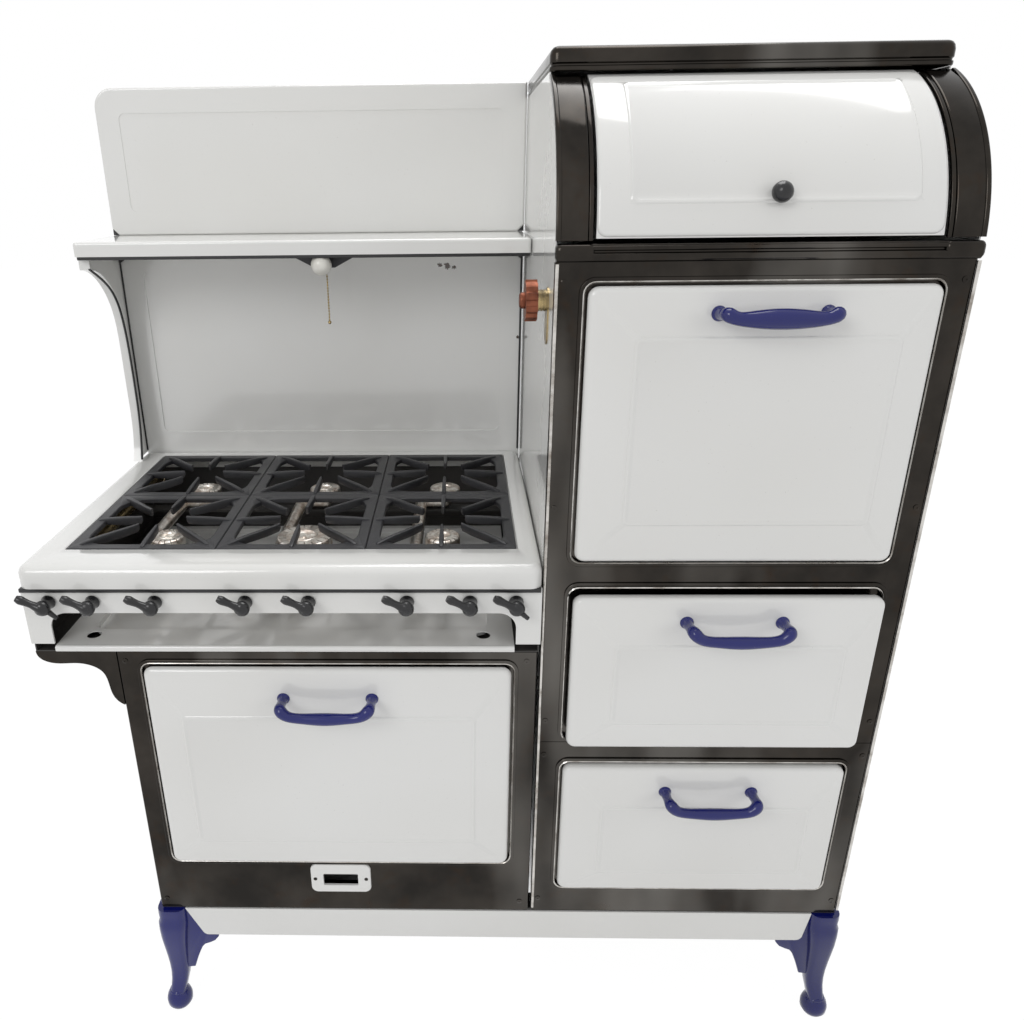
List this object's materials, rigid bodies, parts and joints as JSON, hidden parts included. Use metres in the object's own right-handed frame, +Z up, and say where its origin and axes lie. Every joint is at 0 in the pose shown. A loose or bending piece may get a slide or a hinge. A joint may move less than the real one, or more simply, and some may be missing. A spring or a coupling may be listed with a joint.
{
  "type": "cabinet gas range",
  "caption": "Free-standing cabinet gas range with open grates, drop-down oven doors, drawers, a high shelf and a roll-top warming closet on cabriole legs.",
  "frame": {"origin": "centre of the bounding box's bottom, on the floor", "axes": "+Z up, -Y towards the cook at the front, +X towards the oven tower"},
  "size_m": [1.3268, 0.6815, 1.597],
  "materials": {
    "white_enamel": "glossy porcelain enamel",
    "blue_enamel": "glossy porcelain enamel",
    "nickel": "aged polished nickel plate",
    "black_iron": "satin black cast iron",
    "black_handle": "glossy black",
    "grey_enamel": "speckled oven enamel",
    "sheet_steel": "dull black sheet steel",
    "brass": "aged brass",
    "burner_metal": "worn polished casting",
    "wire": "plated wire",
    "copper_red": "red-brown enamelled wheel",
    "frosted_glass": "frosted"
  },
  "bodies": {
    "range_body": {"legs": "blue_enamel", "base_ring": "sheet_steel", "base_skirt": "white_enamel", "left_frame": "nickel", "left_casing": "white_enamel", "left_oven_liner": "grey_enamel", "lighting_port_bezel": "white_enamel", "corbel_bracket": "nickel", "tower_upper_frame": "nickel", "tower_lower_frame": "nickel", "tower_sides": "white_enamel", "tower_back": "sheet_steel", "upper_oven_liner": "grey_enamel", "oven_racks": "wire", "oven_burners": "black_iron", "drawer_runners": "sheet_steel", "closet_floor": "white_enamel", "tower_moulding": "nickel", "arc_trims": "nickel", "top_cap": "nickel", "regulator_body": "brass", "cooktop": "white_enamel", "burner_box": "sheet_steel", "valve_panel": "white_enamel", "gas_manifold": "brass", "burners": "burner_metal", "backsplash": "white_enamel", "upper_back_panel": "white_enamel", "high_shelf": "white_enamel", "shelf_bracket": "white_enamel", "lamp_bracket": "black_iron", "lamp_bulb": "frosted_glass"},
    "left_oven_door_body": {"left_oven_door": "white_enamel", "left_oven_door_back": "grey_enamel", "left_oven_door_handle": "blue_enamel"},
    "upper_oven_door_body": {"upper_oven_door": "white_enamel", "upper_oven_door_back": "grey_enamel", "upper_oven_door_handle": "blue_enamel"},
    "roll_top": {"roll_top_door": "white_enamel", "roll_top_knob": "black_handle"},
    "middle_drawer": {"middle_drawer_front": "white_enamel", "middle_drawer_pan": "sheet_steel", "middle_drawer_handle": "blue_enamel"},
    "lower_drawer": {"lower_drawer_front": "white_enamel", "lower_drawer_pan": "sheet_steel", "lower_drawer_handle": "blue_enamel"},
    "tray": {"drip_tray": "white_enamel"},
    "grate_left_body": {"grate_left": "black_iron"},
    "grate_centre_body": {"grate_centre": "black_iron"},
    "grate_right_body": {"grate_right": "black_iron"},
    "wheel": {"regulator_wheel": "copper_red"},
    "chain": {"pull_chain": "brass"},
    "lever_1": {"valve_lever_1": "black_handle"},
    "lever_2": {"valve_lever_2": "black_handle"},
    "lever_3": {"valve_lever_3": "black_handle"},
    "lever_4": {"valve_lever_4": "black_handle"},
    "lever_5": {"valve_lever_5": "black_handle"},
    "lever_6": {"valve_lever_6": "black_handle"},
    "lever_7": {"valve_lever_7": "black_handle"},
    "lever_8": {"valve_lever_8": "black_handle"}
  },
  "joints": [
    {"name": "upper_oven_door_hinge", "type": "hinge", "parent": "range_body", "child": "upper_oven_door_body", "pos_m": [0.38056, -0.26625, 0.928], "axis": [1, 0, 0], "range_deg": [0, 88]},
    {"name": "left_oven_door_hinge", "type": "hinge", "parent": "range_body", "child": "left_oven_door_body", "pos_m": [-0.21394, -0.26625, 0.363], "axis": [1, 0, 0], "range_deg": [0, 88]},
    {"name": "roll_top_turn", "type": "hinge", "parent": "range_body", "child": "roll_top", "pos_m": [0.38056, -0.02225, 1.34], "axis": [-1, 0, 0], "range_deg": [0, 44]},
    {"name": "middle_drawer_slide", "type": "slide", "parent": "range_body", "child": "middle_drawer", "axis": [0, -1, 0], "range_m": [-0.016, 0.32]},
    {"name": "lower_drawer_slide", "type": "slide", "parent": "range_body", "child": "lower_drawer", "axis": [0, -1, 0], "range_m": [0, 0.33]},
    {"name": "tray_slide", "type": "slide", "parent": "range_body", "child": "tray", "axis": [0, -1, 0], "range_m": [0, 0.3]},
    {"name": "regulator_turn", "type": "hinge", "parent": "range_body", "child": "wheel", "pos_m": [0.09356, -0.19225, 1.279], "axis": [1, 0, 0], "range_deg": [0, 270]},
    {"name": "chain_pull", "type": "slide", "parent": "range_body", "child": "chain", "axis": [0, 0, -1], "range_m": [0, 0.01], "stiffness_N_per_m": 40, "springref_m": -0.004},
    {"name": "grate_left_lift", "type": "slide", "parent": "range_body", "child": "grate_left_body", "axis": [0, 0, 1], "range_m": [0, 0.08]},
    {"name": "grate_centre_lift", "type": "slide", "parent": "range_body", "child": "grate_centre_body", "axis": [0, 0, 1], "range_m": [0, 0.08]},
    {"name": "grate_right_lift", "type": "slide", "parent": "range_body", "child": "grate_right_body", "axis": [0, 0, 1], "range_m": [0, 0.08]},
    {"name": "lever_1_turn", "type": "hinge", "parent": "range_body", "child": "lever_1", "pos_m": [-0.62144, -0.28225, 0.856], "axis": [0, 1, 0], "range_deg": [0, 90]},
    {"name": "lever_2_turn", "type": "hinge", "parent": "range_body", "child": "lever_2", "pos_m": [-0.55504, -0.28225, 0.856], "axis": [0, 1, 0], "range_deg": [0, 90]},
    {"name": "lever_3_turn", "type": "hinge", "parent": "range_body", "child": "lever_3", "pos_m": [-0.46144, -0.28225, 0.856], "axis": [0, 1, 0], "range_deg": [0, 90]},
    {"name": "lever_4_turn", "type": "hinge", "parent": "range_body", "child": "lever_4", "pos_m": [-0.32644, -0.28225, 0.856], "axis": [0, 1, 0], "range_deg": [0, 90]},
    {"name": "lever_5_turn", "type": "hinge", "parent": "range_body", "child": "lever_5", "pos_m": [-0.23244, -0.28225, 0.856], "axis": [0, 1, 0], "range_deg": [0, 90]},
    {"name": "lever_6_turn", "type": "hinge", "parent": "range_body", "child": "lever_6", "pos_m": [-0.08644, -0.28225, 0.856], "axis": [0, 1, 0], "range_deg": [0, 90]},
    {"name": "lever_7_turn", "type": "hinge", "parent": "range_body", "child": "lever_7", "pos_m": [0.00656, -0.28225, 0.856], "axis": [0, 1, 0], "range_deg": [0, 90]},
    {"name": "lever_8_turn", "type": "hinge", "parent": "range_body", "child": "lever_8", "pos_m": [0.07456, -0.28225, 0.856], "axis": [0, 1, 0], "range_deg": [0, 90]}
  ]
}
